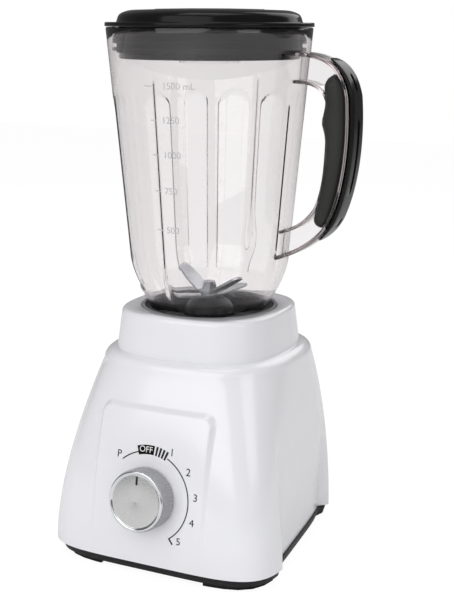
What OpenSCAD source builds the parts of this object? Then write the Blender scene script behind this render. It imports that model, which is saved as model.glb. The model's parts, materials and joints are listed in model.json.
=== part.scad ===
// Countertop blender: motor base with a rotary speed knob, a clear jug with
// a gripped handle and a screw-on blade unit, and a lid with a filler cap.
// Millimetres. Z = 0 is the counter, the knob faces -Y and the handle points
// along +X. Every module is drawn about the drive axis, and stand() moves the
// whole so that the origin is the middle of its outline on the counter.

/* [Housing] */
// Height of the housing's lower edge above the counter
skirt_z = 10; // [9:0.5:13]
// Height of the shoulder, where the collar starts
shoulder_z = 137; // [133:1:170]
// Half width of the housing at its lower edge, on the drive axis
base_half_w = 81; // [78:1:98]
// Distance from the drive axis to the front lower edge
base_front = 95; // [92:1:114]
// Distance from the drive axis to the rear lower edge
base_rear = 88; // [84:1:106]
// How much each side closes in per millimetre towards the rear
base_taper = 0.115; // [0.06:0.005:0.14]
// Half width of the shoulder
shoulder_half = 68.5; // [66:0.5:72]
// Half width of the collar at its foot
collar_foot_half = 60; // [58:0.5:63]
// Half width of the collar at its top
collar_half = 56.5; // [55:0.5:58]
// Height of the collar above the shoulder
collar_h = 36; // [34:0.5:44]
// Housing wall
wall = 2.5; // [2:0.1:3]
// Depth of the hollow in each side wall
side_recess = 8.5; // [4:0.5:9]
// How far the control panel stands proud at its top
panel_proud = 4; // [2:0.1:5]
// Half width of the control panel
panel_half = 44; // [40:1:54]
// Height of the control panel's top edge
panel_top_z = 117; // [102:1:120]

/* [Base plate] */
// Height of the rubber feet
foot_h = 3; // [2:0.25:4]
// Thickness of the base plate's floor
plate_t = 3; // [2.5:0.25:4]
// How far the base plate's edge sits inside the housing's edge
plate_inset = 3; // [2:0.25:4]
// Length of one foot along the front or rear edge
foot_len = 46; // [36:1:52]
// Radius of the thread of the base screws
base_screw_r = 1.9; // [1.5:0.1:2.2]
// Number of air slots in the base plate
vent_count = 7; // [5:2:9]

/* [Jug socket] */
// Radius of the bore in the collar
socket_r = 48.6; // [47.5:0.1:50]
// Wall of the well that lines the collar
well_wall = 2.2; // [1.8:0.1:2.6]
// Depth of the well below the collar's top
well_depth = 41; // [40:0.5:45]
// Thickness of the well's floor
well_floor_t = 2.5; // [2:0.1:3.5]

/* [Jug] */
// Height of the jug's rim above the collar's top
jug_h = 193; // [160:1:235]
// Outside radius of the jug at its rim
rim_r = 70.9; // [68:0.5:76]
// Outside radius of the jug above its rounded foot
foot_r = 56.2; // [54:0.2:60]
// Height of the rounded foot above the collar's top
foot_curve_h = 34; // [30:1:40]
// Wall of the jug
jug_wall = 2.6; // [2:0.1:3.2]
// Reach of the pouring lip beyond the rim
spout_reach = 6; // [3:0.5:7]

/* [Handle] */
// Thickness of the two rails of the handle
rail_t = 3; // [2.5:0.25:4]
// Width of the rails
rail_w = 19; // [17:1:20]
// Thickness of the web between the rails
web_t = 3; // [2:0.25:4]
// Width of the soft grip
grip_w = 21; // [20.5:0.5:26]
// Thickness of the black trim on the outer rail
trim_t = 3.4; // [2:0.1:4]
// Width of the black trim
trim_w = 18.5; // [16:0.5:19]
// Width of the windows in the trim
trim_window = 4.2; // [3:0.2:6]

/* [Lid] */
// Radius of the lid's flange
lid_r = 71.5; // [71:0.5:78]
// Thickness of the lid's flange
lid_t = 2.9; // [2:0.1:4]
// Radius of the plug that goes into the jug
plug_r = 62; // [58:0.5:63]
// Depth of the plug below the flange
plug_h = 21; // [18:0.5:26]
// Height of the lid's dome above the flange
dome_h = 10; // [8:0.5:13]
// Radius of the filler hole
filler_r = 22; // [18:0.5:26]
// Length of the filler cap below the lid's flange
cap_drop = 24; // [18:0.5:30]

/* [Knob] */
// Height of the knob's centre above the counter
knob_z = 57.3; // [54:0.5:62]
// Radius of the knob's skirt
knob_r = 21.1; // [18:0.1:24]
// Height of the knob over the panel
knob_h = 16; // [13:0.5:19]
// Backward lean of the panel at the knob, in degrees
panel_lean = 9; // [7:0.5:11]
// Radius of the switch spindle
spindle_r = 3; // [2.5:0.1:3.5]

/* [Motor and blades] */
// Radius of the motor shaft
shaft_r = 4; // [3.5:0.1:4.5]
// Radius of the rotor core
rotor_r = 20; // [18:0.5:22]
// Height of the stator's stack
stack_h = 30; // [24:1:34]
// Radius of the fan
fan_r = 30; // [24:1:34]
// Number of fan blades
fan_count = 9; // [7:1:13]
// Radius of the blade shaft
blade_shaft_r = 3; // [2.5:0.1:3.5]
// Reach of the blades from the axis
blade_r = 33; // [28:0.5:36]
// Radius of the driving dog
dog_r = 8; // [7:0.5:9]

/* [Fits] */
// Radial clearance of a turning shaft
run_fit = 0.05; // [0.02:0.01:0.1]
// Gap between fixed pieces that seat in each other
seat_gap = 0.2; // [0.1:0.05:0.3]
// Gap between pieces that lift off each other
lift_gap = 0.4; // [0.3:0.05:0.6]

/* [Hidden] */
$fn = 64;
eps = 0.01;
foot_gap = 40;
foot_rear_len = 32;

// Heights, from the counter upwards
collar_top = shoulder_z + collar_h;
collar_foot_z = shoulder_z + 8;
well_floor = collar_top - well_depth;
rim_z = collar_top + jug_h;
lid_z = rim_z + 0.3;
plate_z = foot_h;

// Radii of what nests in the collar, from the outside in
well_r = socket_r - seat_gap;
well_in_r = well_r - well_wall;
jug_collar_r = well_in_r - lift_gap;
jug_collar_wall = 3.2;
neck_r = jug_collar_r - jug_collar_wall - seat_gap;
neck_in_r = neck_r - 3;

// Blade unit, from the jug collar's shelf upwards
shelf_z = well_floor + 18.5;
shelf_t = 4;
carrier_z = shelf_z + shelf_t + 0.1;
carrier_t = 2.4;
gasket_t = 1.8;
neck_z = carrier_z + carrier_t + gasket_t + 0.2;
hub_top_z = collar_top + 5;
blade_t = 1.6;
lower_blade_z = hub_top_z + 1;
spacer_h = 1.4;
upper_blade_z = lower_blade_z + blade_t + spacer_h;
blade_nut_z = upper_blade_z + blade_t;
bush_wall = 2.2;

// Motor, from the well's floor downwards
bracket_t = 4;
post_h = 14;
bush_h = 6;
upper_bracket_z = well_floor - well_floor_t - post_h - bush_h - bracket_t;
bearing_h = 8;
bearing_wall = 4;
coil_over = 6;
stack_z = upper_bracket_z - coil_over - 3 - stack_h;
commutator_h = 12;
commutator_r = 11;
commutator_z = stack_z - coil_over - 3 - commutator_h;
lower_bracket_z = commutator_z - 6 - bracket_t;
fan_h = 9;
fan_z = lower_bracket_z - 5 - fan_h;
shaft_z = fan_z - 3;
post_at = 32;
bolt_at = 33;
stack_half_x = 37;
stack_half_y = 30;

// Driving dog and the socket that it turns
dog_hub_z = well_floor + 1;
dog_hub_h = 3;
dog_h = 8;
dog_teeth = 6;
coupling_r = 13;
coupling_z = dog_hub_z + dog_hub_h + 0.5;
coupling_h = 13;

// Housing section: a rounded trapezoid that turns into a rounded square
ring_n = 64;
corner_sharp = 5;
corner_soft = 2.9;
flare = 1.7;
crease_w = 8;
column_front = 0.61;
column_rear = 0.72;

function mix(a, b, t) = a + (b - a) * t;
function ramp(t) = let (c = max(0, min(1, t))) c * c * (3 - 2 * c);
function rise(z) = pow(max(0, (z - skirt_z) / (shoulder_z - skirt_z)), flare);
function squircle(a, n) = pow(pow(abs(cos(a)), n) + pow(abs(sin(a)), n), -1 / n);

// How deep the side hollow and how proud the panel is at a height
function hollow_at(z) = side_recess * (1 - ramp((z - skirt_z) / (0.75 * (shoulder_z - skirt_z))));
function panel_at(z) = panel_proud * (z - skirt_z) / (panel_top_z - skirt_z)
    * (1 - ramp((z - panel_top_z + 5) / 5));

// One point of the skirt's outline at angle a and height z, inset by d
function skirt_point(a, z, d) =
    let (
        s = rise(z),
        n = mix(corner_sharp, corner_soft, s),
        front = mix(base_front, shoulder_half, s),
        rear = mix(base_rear, shoulder_half, s),
        half = mix(base_half_w, shoulder_half, s),
        r = squircle(a, n),
        v = r * sin(a),
        y = (rear - front) / 2 + ((front + rear) / 2 - d) * v,
        side = (half - d - mix(base_taper, 0, s) * y) * r * cos(a),
        on_side = ramp((abs(r * cos(a)) - 0.86) / 0.08)
            * ramp((v + column_front) * base_front / crease_w)
            * ramp((column_rear - v) * base_rear / crease_w),
        x = sign(side) * (abs(side) - hollow_at(z) * on_side),
        on_panel = sin(a) < 0 ? ramp((panel_half + 3 - abs(x)) / 5) : 0
    )
    [x, y - panel_at(z) * on_panel, z];

// One point of the collar's outline
function collar_point(a, half, z) =
    let (r = squircle(a, corner_soft)) [half * r * cos(a), half * r * sin(a), z];

function skirt_ring(z, d) = [for (i = [0:ring_n - 1]) skirt_point(i * 360 / ring_n, z, d)];
function collar_ring(half, z) =
    [for (i = [0:ring_n - 1]) collar_point(i * 360 / ring_n, half, z)];

// Front face of the panel at the knob, and a frame that faces out of it
function front_y(z) = -mix(base_front, shoulder_half, rise(z)) - panel_at(z);
module on_panel() {
    translate([0, front_y(knob_z), knob_z]) rotate([90 - panel_lean, 0, 0]) children();
}

// Closed solid through a stack of rings with equal numbers of points
module loft(rings) {
    n = len(rings[0]);
    m = len(rings);
    points = [for (r = rings) each r];
    sides = [for (j = [0:m - 2]) for (i = [0:n - 1])
        let (a = j * n + i, b = j * n + (i + 1) % n)
        each [[a, b + n, b], [a, a + n, b + n]]];
    bottom = [for (i = [0:n - 1]) i];
    top = [for (i = [n - 1:-1:0]) (m - 1) * n + i];
    polyhedron(points, concat([bottom], sides, [top]), convexity = 6);
}

module tube(r, r_in, h) {
    difference() {
        cylinder(r = r, h = h);
        translate([0, 0, -1]) cylinder(r = r_in, h = h + 2);
    }
}

module at_corners(x, y) {
    for (sx = [-1, 1]) for (sy = [-1, 1]) translate([sx * x, sy * y, 0]) children();
}

// Places of the screws that hold the base plate to the housing
module at_base_screws() {
    for (s = [-1, 1]) {
        translate([s * (base_half_w - 13), -(base_front - 25), 0]) children();
        translate([s * (base_half_w - 25), base_rear - 23, 0]) children();
    }
}

// Countersunk or pan screw: head up to z = 0, thread upwards from there
module screw(r, head_r, head_h, length) {
    translate([0, 0, -head_h]) difference() {
        cylinder(r = head_r, h = head_h);
        translate([0, 0, -1]) cylinder(r = head_r * 0.45, h = 2, $fn = 6);
    }
    translate([0, 0, -eps]) cylinder(r = r, h = length + eps);
}

// ---------------------------------------------------------------- base

skirt_levels = [skirt_z, 20, 34, 48, 64, 80, 94, panel_top_z - 5, panel_top_z - 2,
    panel_top_z, panel_top_z + 7, shoulder_z - 9];

module housing_outer() {
    loft(concat(
        [for (z = skirt_levels) skirt_ring(z, 0)],
        [skirt_ring(shoulder_z, 0)],
        [for (q = [30, 60, 90]) collar_ring(
            mix(shoulder_half, collar_foot_half, 1 - cos(q)),
            mix(shoulder_z, collar_foot_z, sin(q)))],
        [collar_ring(collar_half + 0.4, collar_top - 5)],
        [for (q = [0, 45, 90]) collar_ring(
            collar_half - 3 * (1 - cos(q)), collar_top - 3 + 3 * sin(q))]));
}

module housing_inner() {
    loft(concat(
        [skirt_ring(skirt_z - 1, wall)],
        [for (z = skirt_levels) skirt_ring(z, wall)],
        [skirt_ring(shoulder_z - 2, wall)]));
}

module screw_bosses() {
    intersection() {
        at_base_screws() translate([0, 0, skirt_z + 4]) cylinder(r = 5, h = shoulder_z);
        loft([for (z = concat(skirt_levels, [shoulder_z])) skirt_ring(z, 0.5)]);
    }
}

module housing() {
    color([0.93, 0.93, 0.95]) difference() {
        union() {
            difference() {
                housing_outer();
                housing_inner();
            }
            screw_bosses();
        }
        translate([0, 0, shoulder_z - 10]) cylinder(r = socket_r, h = collar_h + 20);
        at_base_screws() translate([0, 0, skirt_z]) cylinder(r = base_screw_r + seat_gap, h = 26);
        on_panel() translate([0, 0, -20]) cylinder(r = bushing_r + seat_gap, h = 40);
        gland_place() translate([0, 0, -20]) cylinder(r = gland_r, h = 40);
    }
}

module base_plate() {
    color([0.1, 0.1, 0.11]) difference() {
        union() {
            difference() {
                loft([skirt_ring_at(plate_z, plate_inset + 3), skirt_ring_at(skirt_z - 1, plate_inset),
                    skirt_ring_at(skirt_z - 0.2, plate_inset)]);
                translate([0, 0, plate_t]) loft([skirt_ring_at(plate_z, wall + 7.5),
                    skirt_ring_at(skirt_z, wall + 7.5)]);
            }
            at_base_screws() translate([0, 0, plate_z]) cylinder(r = 5, h = skirt_z + 3.8 - plate_z);
            at_board_posts() translate([0, 0, plate_z]) cylinder(r = 3.2, h = board_z - plate_z);
        }
        at_board_posts() translate([0, 0, board_z - 5]) cylinder(r = board_screw_r + seat_gap, h = 6);
        at_base_screws() {
            translate([0, 0, -1]) cylinder(r = base_screw_r + seat_gap, h = skirt_z + 20);
            translate([0, 0, -1]) cylinder(r = 4.4, h = plate_z + 3);
        }
        for (i = [0:vent_count - 1]) translate([(i - (vent_count - 1) / 2) * 9 - 2, -26, 0])
            cube([4, 52, plate_z + plate_t + 1]);
    }
}

// The skirt's lowest outline, carried to another height
function skirt_ring_at(z, d) = [for (p = skirt_ring(skirt_z, d)) [p[0], p[1], z]];

// Four rubber feet: the corners of one ring that follows the plate's outline
module feet() {
    color([0.07, 0.07, 0.07]) difference() {
        linear_extrude(plate_z) polygon([for (p = skirt_ring(skirt_z, plate_inset + 4)) [p[0], p[1]]]);
        translate([-foot_gap, -base_front - 10, -1]) cube([2 * foot_gap, base_front + base_rear + 20, 9]);
        translate([-base_half_w - 20, -base_front + foot_len, -1])
            cube([2 * base_half_w + 40, base_front + base_rear - foot_len - foot_rear_len, 9]);
        at_base_screws() translate([0, 0, -2]) cylinder(r = 5, h = plate_z + 4);
    }
}

module base_screws() {
    color([0.6, 0.6, 0.62]) at_base_screws()
        translate([0, 0, plate_z + 2]) screw(base_screw_r, 4.2, 1.8, 26);
}

// Well that lines the collar, with posts that carry the motor
module socket_well() {
    color([0.12, 0.12, 0.13]) {
        difference() {
            union() {
                translate([0, 0, well_floor - well_floor_t]) cylinder(r = well_r,
                    h = collar_top - 1.3 - well_floor + well_floor_t);
                at_corners(post_at, post_at) translate([0, 0, well_floor - well_floor_t - post_h])
                    cylinder(r = 5, h = post_h + 1);
            }
            translate([0, 0, well_floor]) cylinder(r = well_in_r, h = well_depth);
            translate([0, 0, well_floor - 5]) cylinder(r = 15, h = 10);
            at_corners(post_at, post_at) translate([0, 0, well_floor - well_floor_t - post_h - 1])
                cylinder(r = 1.9 + seat_gap, h = 13);
        }
    }
}

// Grey ring round the mouth of the well
module seat_gasket() {
    color([0.42, 0.42, 0.44]) translate([0, 0, collar_top - 1.2])
        tube(socket_r - 0.3, jug_collar_r + lift_gap, 1.2);
}

module shaft_seal() {
    color([0.15, 0.15, 0.15]) translate([0, 0, well_floor - well_floor_t]) {
        tube(15 - seat_gap / 2, 6, well_floor_t);
        tube(6 + eps, shaft_r + 0.3, 1.2);
    }
}

// ------------------------------------------------- cord inlet, wiring

gland_r = 6.5;
gland_z = 26;
gland_lip = 2.8;
module gland_place() {
    translate([0, mix(base_rear, shoulder_half, rise(gland_z)), gland_z]) rotate([-90, 0, 0]) children();
}

module cord_gland() {
    color([0.1, 0.1, 0.1]) gland_place() difference() {
        union() {
            translate([0, 0, -9]) cylinder(r = gland_r - seat_gap, h = 11);
            translate([0, 0, gland_lip - 2]) cylinder(r = gland_r + 2, h = 2);
            translate([0, 0, -9]) cylinder(r = gland_r + 1.5, h = 4);
        }
        translate([0, 0, -12]) cylinder(r = 3.7, h = 20);
    }
}

board_x = 46;
board_y = 30;
board_t = 1.6;
board_z = plate_z + 9;
board_post_x = board_x / 2 - 4;
board_screw_r = 1.5;
module board_place() {
    translate([0, -(fan_r + 26), 0]) children();
}
module at_board_posts() {
    board_place() for (s = [-1, 1]) translate([s * board_post_x, 0, 0]) children();
}

module wiring_board() {
    board_place() translate([0, 0, board_z]) {
        color([0.1, 0.35, 0.2]) difference() {
            translate([-board_x / 2, -board_y / 2, 0]) cube([board_x, board_y, board_t]);
            for (s = [-1, 1]) translate([s * board_post_x, 0, -1])
                cylinder(r = board_screw_r + seat_gap, h = board_t + 2);
        }
        color([0.2, 0.2, 0.2]) {
            translate([-12, -9, board_t - eps]) cube([10, 7, 6]);
            translate([3, -9, board_t - eps]) cube([12, 9, 8]);
            translate([-8, 9, board_t - eps]) cylinder(r = 3, h = 8);
        }
    }
}

module board_screws() {
    color([0.7, 0.7, 0.7]) at_board_posts() translate([0, 0, board_z + board_t])
        rotate([180, 0, 0]) screw(board_screw_r, 2.8, 1.6, board_t + 4);
}

// --------------------------------------------------- switch and knob

bushing_r = 4.5;
switch_half = 16;
switch_d = 20;
switch_drop = wall + 4;
knob_gap = 1;
cap_h = 5;
cap_r = knob_r - 0.8;

module switch_body() {
    color([0.2, 0.2, 0.22]) on_panel() difference() {
        union() {
            translate([-switch_half, -switch_half, -switch_drop - switch_d])
                cube([2 * switch_half, 2 * switch_half, switch_d]);
            translate([0, 0, -switch_drop - 1]) cylinder(r = bushing_r, h = switch_drop + 4.6);
            translate([0, 0, -switch_drop - 1]) cylinder(r = bushing_r + 3, h = switch_drop - wall);
        }
        translate([0, 0, -switch_drop - 12]) cylinder(r = spindle_r + run_fit, h = 40);
    }
}

module switch_nut() {
    color([0.75, 0.75, 0.76]) on_panel() translate([0, 0, 0.3]) difference() {
        cylinder(r = 8, h = 2.4, $fn = 6);
        translate([0, 0, -1]) cylinder(r = bushing_r + 0.1, h = 5);
    }
}

module switch_spindle() {
    color([0.8, 0.8, 0.82]) on_panel() difference() {
        translate([0, 0, -switch_drop - 11]) cylinder(r = spindle_r, h = switch_drop + 11 + knob_h - cap_h);
        translate([-5, spindle_r * 0.5, 5.5]) cube([10, 5, 20]);
    }
}

module knob_body() {
    color([0.55, 0.56, 0.58]) on_panel() difference() {
        translate([0, 0, knob_gap]) cylinder(r = knob_r, h = knob_h - knob_gap - 2);
        translate([0, 0, knob_gap - 1]) cylinder(r = 10.5, h = 4);
        translate([0, 0, knob_h - cap_h]) cylinder(r = cap_r - 2, h = cap_h);
        difference() {
            translate([0, 0, -1]) cylinder(r = spindle_r + 0.02, h = knob_h + 2);
            translate([-5, spindle_r * 0.5, 5.5]) cube([10, 5, 20]);
        }
    }
}

module knob_cap() {
    color([0.85, 0.86, 0.88]) on_panel() difference() {
        union() {
            translate([0, 0, knob_h - 2]) cylinder(r = cap_r, h = 2);
            translate([0, 0, knob_h - cap_h + 0.1]) cylinder(r = cap_r - 2.2, h = cap_h - 1);
        }
        translate([0, 0, knob_h - 0.8]) cylinder(r = cap_r - 2.5, h = 2);
        translate([-1, cap_r - 9, knob_h - 1.6]) cube([2, 6, 3]);
    }
}

// --------------------------------------------------------------- motor

module stator() {
    color([0.45, 0.45, 0.47]) translate([0, 0, stack_z]) difference() {
        union() {
            translate([-stack_half_x, -stack_half_y, 0])
                cube([2 * stack_half_x, 2 * stack_half_y, stack_h]);
        }
        translate([0, 0, -1]) cylinder(r = rotor_r + 0.6, h = stack_h + 2);
        for (s = [-1, 1]) translate([s > 0 ? 23 : -29, -18, -1]) cube([6, 36, stack_h + 2]);
        for (s = [-1, 1]) translate([s * bolt_at, 0, -1]) cylinder(r = 2.2, h = stack_h + 2);
    }
}

// Two windings that run through the stator's slots and over its ends
module field_coils() {
    color([0.72, 0.4, 0.2]) for (s = [-1, 1]) scale([s, 1, 1]) {
        translate([23.3, -17.7, stack_z - coil_over]) cube([5.4, 35.4, stack_h + 2 * coil_over]);
    }
}

module upper_bracket() {
    color([0.7, 0.7, 0.72]) translate([0, 0, upper_bracket_z]) difference() {
        union() {
            translate([-post_at - 6, -post_at - 6, 0])
                cube([2 * post_at + 12, 2 * post_at + 12, bracket_t]);
            translate([0, 0, -2]) cylinder(r = shaft_r + bearing_wall + 3, h = bearing_h);
        }
        translate([0, 0, -3]) cylinder(r = shaft_r + bearing_wall + 0.1, h = bearing_h + 2);
        for (s = [-1, 1]) translate([s * bolt_at, 0, -3]) cylinder(r = 2.2, h = 9);
        at_corners(post_at, post_at) translate([0, 0, -1]) cylinder(r = 2.4, h = bracket_t + 2);
        for (s = [-1, 1]) translate([s > 0 ? 19 : -31, -12, -1]) cube([8, 24, bracket_t + 2]);
    }
}

module lower_bracket() {
    color([0.7, 0.7, 0.72]) translate([0, 0, lower_bracket_z]) difference() {
        union() {
            translate([-bolt_at - 6, -18, 0]) cube([2 * bolt_at + 12, 36, bracket_t]);
            translate([0, 0, -2]) cylinder(r = shaft_r + bearing_wall + 3, h = bearing_h);
        }
        translate([0, 0, -3]) cylinder(r = shaft_r + bearing_wall + 0.1, h = bearing_h + 2);
        for (s = [-1, 1]) translate([s * bolt_at, 0, -3]) cylinder(r = 2.2, h = 9);
    }
}

module bearing(z) {
    color([0.78, 0.62, 0.35]) translate([0, 0, z - 1]) {
        tube(shaft_r + bearing_wall, shaft_r + run_fit, bearing_h - 1);
    }
}

module upper_bearing() bearing(upper_bracket_z);
module lower_bearing() bearing(lower_bracket_z);

module through_bolts() {
    color([0.6, 0.6, 0.62]) for (s = [-1, 1]) translate([s * bolt_at, 0, lower_bracket_z]) {
        screw(2, 4, 2.4, upper_bracket_z + bracket_t + 3 - lower_bracket_z);
        translate([0, 0, upper_bracket_z + bracket_t - lower_bracket_z])
            cylinder(r = 4, h = 2.4, $fn = 6);
    }
}

// Rubber bushes between the motor's bracket and the posts of the well
module motor_bushes() {
    color([0.15, 0.15, 0.15]) at_corners(post_at, post_at)
        translate([0, 0, upper_bracket_z + bracket_t]) tube(6, 2.1, bush_h);
}

module motor_screws() {
    color([0.6, 0.6, 0.62]) at_corners(post_at, post_at)
        translate([0, 0, upper_bracket_z]) screw(1.9, 4, 2, bracket_t + bush_h + 10);
}

brush_w = 6;
brush_gap = 0.3;
brush_l = 12;
brush_z = commutator_z + commutator_h / 2;

// Brushes lie along Y, one each side of the commutator
module at_brushes() {
    for (turn = [0, 180]) rotate([0, 0, turn + 90]) translate([0, 0, brush_z]) children();
}

module brush_holders() {
    color([0.25, 0.2, 0.15]) at_brushes() difference() {
        union() {
            translate([commutator_r + 3, -6, -6]) cube([20, 12, 12]);
            translate([commutator_r + 3, -5, lower_bracket_z + bracket_t - brush_z]) cube([3.5, 10, 8]);
        }
        translate([commutator_r, -brush_w / 2 - 0.1, -brush_w / 2 - 0.1])
            cube([21, brush_w + 0.2, brush_w + 0.2]);
    }
}

module carbon_brushes() {
    color([0.2, 0.2, 0.2]) at_brushes()
        translate([commutator_r + brush_gap, -brush_w / 2, -brush_w / 2]) cube([brush_l, brush_w, brush_w]);
}

// Coil springs behind the brushes, each drawn as its close-wound rings
module brush_springs() {
    color([0.8, 0.8, 0.8]) at_brushes() for (i = [0:6])
        translate([commutator_r + brush_gap + brush_l + i, 0, 0]) rotate([0, 90, 0]) tube(2.6, 2, 1.02);
}

module motor_shaft() {
    color([0.8, 0.8, 0.82]) translate([0, 0, shaft_z])
        cylinder(r = shaft_r, h = dog_hub_z + dog_hub_h + dog_h - 1 - shaft_z);
}

module rotor_core() {
    color([0.5, 0.42, 0.36]) translate([0, 0, stack_z]) difference() {
        union() {
            difference() {
                cylinder(r = rotor_r, h = stack_h);
                for (i = [0:11]) rotate([0, 0, 30 * i]) translate([rotor_r - 2, -1, -1])
                    cube([4, 2, stack_h + 2]);
            }
            translate([0, 0, -coil_over]) cylinder(r = rotor_r - 3.5, h = stack_h + 2 * coil_over);
        }
        translate([0, 0, -10]) cylinder(r = shaft_r, h = stack_h + 20);
    }
}

module commutator() {
    color([0.75, 0.45, 0.25]) translate([0, 0, commutator_z]) tube(commutator_r, shaft_r, commutator_h);
}

module fan() {
    color([0.9, 0.9, 0.88]) translate([0, 0, fan_z]) difference() {
        union() {
            cylinder(r = fan_r, h = 1.6);
            cylinder(r = 8, h = fan_h);
            for (i = [0:fan_count - 1]) rotate([0, 0, i * 360 / fan_count])
                translate([7, -0.8, 0]) cube([fan_r - 8, 1.6, fan_h]);
        }
        translate([0, 0, -1]) cylinder(r = shaft_r, h = fan_h + 2);
    }
}

// Dog outline: a round core with square-sided teeth
module dog_shape(grow) {
    circle(r = dog_r - 2 + grow);
    for (i = [0:dog_teeth - 1]) rotate(i * 360 / dog_teeth)
        translate([0, -1.6 - grow]) square([dog_r + grow, 3.2 + 2 * grow]);
}

module drive_coupling() {
    color([0.15, 0.15, 0.16]) translate([0, 0, dog_hub_z]) difference() {
        union() {
            cylinder(r = 11, h = dog_hub_h);
            linear_extrude(dog_hub_h + dog_h) dog_shape(0);
        }
        translate([0, 0, -1]) cylinder(r = shaft_r, h = dog_hub_h + dog_h);
    }
}

// ----------------------------------------------------------------- jug

// Cubic curve through two end points with two control points
function bezier(p, t) = p[0] * pow(1 - t, 3) + 3 * p[1] * t * pow(1 - t, 2)
    + 3 * p[2] * t * t * (1 - t) + p[3] * pow(t, 3);
function chain(curves, n) = concat(
    [for (c = curves) for (i = [0:n - 1]) bezier(c, i / n)], [curves[len(curves) - 1][3]]);

// Half profile of the jug from its neck to its rim, as a curve in r and z
foot_curve = [[neck_r + 0.1, collar_top + 1], [mix(neck_r, foot_r, 0.35), collar_top + 8.5],
    [foot_r - 1, collar_top + 23], [foot_r, collar_top + foot_curve_h]];

function jug_profile(d) = concat(
    [[neck_r - d, collar_top + 1]],
    [for (i = [1:8]) let (p = bezier(foot_curve, i / 8)) [p[0] - d, p[1]]],
    [[rim_r - d, rim_z]]);

module jug_outer() {
    rotate_extrude() polygon(concat([[0, neck_z], [neck_r, neck_z]], jug_profile(0), [[0, rim_z]]));
}

module jug_inner() {
    rotate_extrude() polygon(concat([[0, neck_z - 1], [neck_in_r, neck_z - 1], [neck_in_r, collar_top - 2]],
        jug_profile(jug_wall), [[rim_r - jug_wall, rim_z + 1], [0, rim_z + 1]]));
}

// Pouring lip opposite the handle: a cone that leans out of the wall
module spout(d) {
    translate([-(rim_r + spout_reach - 14), 0, rim_z - 30])
        cylinder(r1 = 2 - d * 0.5, r2 = 14 - d, h = 30 + (d > 0 ? 1 : 0));
}

// Edges of the handle in x and z: heights are counted down from the rim
function from_rim(c) = [for (p = c) [p[0] + rim_r - 70.9, rim_z + p[1] * jug_h / 193]];
outer_edge = chain([
    from_rim([[66, -15.5], [82, -15.5], [101, -18], [106, -44]]),
    from_rim([[106, -44], [107.6, -66], [106.6, -98], [96.5, -123]]),
    from_rim([[96.5, -123], [91, -137], [74, -152], [46, -158]])], 10);
inner_edge = chain([
    from_rim([[60, -36], [74, -36], [88, -36], [89.3, -52]]),
    from_rim([[89.3, -52], [88.7, -72], [90, -103], [81, -119]]),
    from_rim([[81, -119], [75, -127], [67, -134.5], [48, -136.5]])], 10);
grip_edge = chain([from_rim([[87, -29.5], [86.5, -66], [90, -102], [79.5, -131.5]])], 14);

// Unit normals of a path, pointing to its left-hand side as it descends
function unit(v) = v / norm(v);
function side_of(path, i) =
    let (d = unit(path[min(i + 1, len(path) - 1)] - path[max(i - 1, 0)])) [-d[1], d[0]];
function shifted(path, d) = [for (i = [0:len(path) - 1]) path[i] + d * side_of(path, i)];
function reversed(path) = [for (i = [len(path) - 1:-1:0]) path[i]];

module band(path, d0, d1) {
    polygon(concat(shifted(path, d0), reversed(shifted(path, d1))));
}

module stand_up(w) {
    translate([0, w / 2, 0]) rotate([90, 0, 0]) linear_extrude(w) children();
}

module handle_rails(grow) {
    stand_up(web_t + 2 * grow) polygon(concat(shifted(outer_edge, -1), reversed(shifted(inner_edge, 1))));
    stand_up(rail_w) band(outer_edge, 0, -rail_t);
    stand_up(rail_w - 4 + 2 * grow) band(inner_edge, -grow, rail_t - 0.5 + grow);
}

module jug() {
    color([0.85, 0.9, 0.92, 0.35]) difference() {
        union() {
            jug_outer();
            spout(0);
            handle_rails(0);
        }
        jug_inner();
        spout(jug_wall);
    }
}

// Soft grip: fills the space between its own finger edge and the outer rail,
// and wraps the inner rail and the web
module grip_pad() {
    back = shifted(outer_edge, -rail_t - seat_gap);
    color([0.1, 0.1, 0.1]) difference() {
        stand_up(grip_w) offset(r = 4) offset(delta = -4) intersection() {
            polygon(concat(back, reversed(grip_edge)));
            translate([60, grip_edge[14][1]]) square([70, grip_edge[0][1] - grip_edge[14][1]]);
        }
        handle_rails(seat_gap);
    }
}

// Black trim that lies on the outer rail, thinning towards its ends, with
// three windows along its middle
trim_from = 6;
trim_to = 21;
module trim_window_cut(i0, i1) {
    stand_up(trim_window) band([for (i = [i0:i1]) outer_edge[i]], -1, trim_t + 4);
}

module handle_trim() {
    path = [for (i = [trim_from:trim_to]) outer_edge[i]];
    n = len(path) - 1;
    outside = [for (i = [0:n])
        path[i] + (0.6 + (trim_t - 0.6) * pow(sin(180 * i / n), 0.4)) * side_of(path, i)];
    color([0.08, 0.08, 0.08]) difference() {
        stand_up(trim_w) polygon(concat(shifted(path, seat_gap), reversed(outside)));
        trim_window_cut(8, 10);
        trim_window_cut(12, 17);
        trim_window_cut(18, 20);
    }
}

// ---------------------------------------------------------- blade unit

module jug_collar() {
    color([0.12, 0.12, 0.13]) translate([0, 0, well_floor + 0.3]) difference() {
        cylinder(r = jug_collar_r, h = collar_top - 0.8 - well_floor);
        translate([0, 0, shelf_z + shelf_t - well_floor - 0.3])
            cylinder(r = jug_collar_r - jug_collar_wall, h = well_depth);
        translate([0, 0, -1]) cylinder(r = jug_collar_r - jug_collar_wall, h = shelf_z - well_floor + 0.7);
        translate([0, 0, -1]) cylinder(r = 20, h = well_depth);
    }
}

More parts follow.
